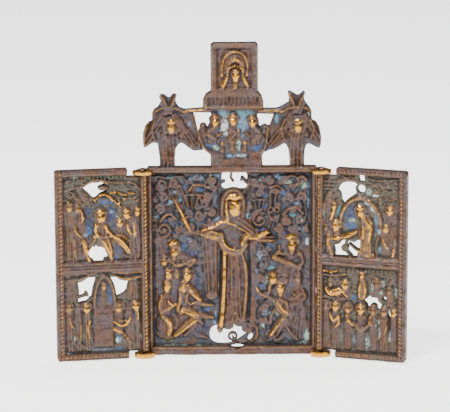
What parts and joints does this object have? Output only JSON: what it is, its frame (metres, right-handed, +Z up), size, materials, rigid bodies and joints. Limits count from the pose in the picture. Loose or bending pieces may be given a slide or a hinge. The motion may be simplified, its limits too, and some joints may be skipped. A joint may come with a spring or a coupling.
{
  "type": "triptych altarpiece",
  "caption": "Cast metal travelling triptych in low relief: a centre panel with an openwork crest and two wings that close over it on hinge rods.",
  "frame": {"origin": "on the surface the triptych stands on, below the middle of its bounding box", "axes": "+X to the right as one faces it, +Y from the front to the back, +Z up"},
  "size_m": [0.1686, 0.023, 0.1534],
  "materials": {
    "panel_casting": "old cast brass, brown-violet patina, gold where worn, remains of blue and white enamel in the ground",
    "wing_casting": "old cast brass, brown patina, gold where worn, remains of blue and white enamel in the ground",
    "hinge_rod": "plain drawn brass, worn"
  },
  "bodies": {
    "panel": {"centre_panel": "panel_casting", "left_hinge_pin": "hinge_rod", "right_hinge_pin": "hinge_rod"},
    "left_wing": {"left_wing": "wing_casting"},
    "right_wing": {"right_wing": "wing_casting"}
  },
  "joints": [
    {"name": "left_wing_hinge", "type": "hinge", "parent": "panel", "child": "left_wing", "pos_m": [-0.04196, 0.00445, 0.0472], "axis": [0, 0, 1], "range_deg": [-94, 171]},
    {"name": "right_wing_hinge", "type": "hinge", "parent": "panel", "child": "right_wing", "pos_m": [0.04334, 0.00445, 0.0472], "axis": [0, 0, -1], "range_deg": [-104, 161]}
  ]
}
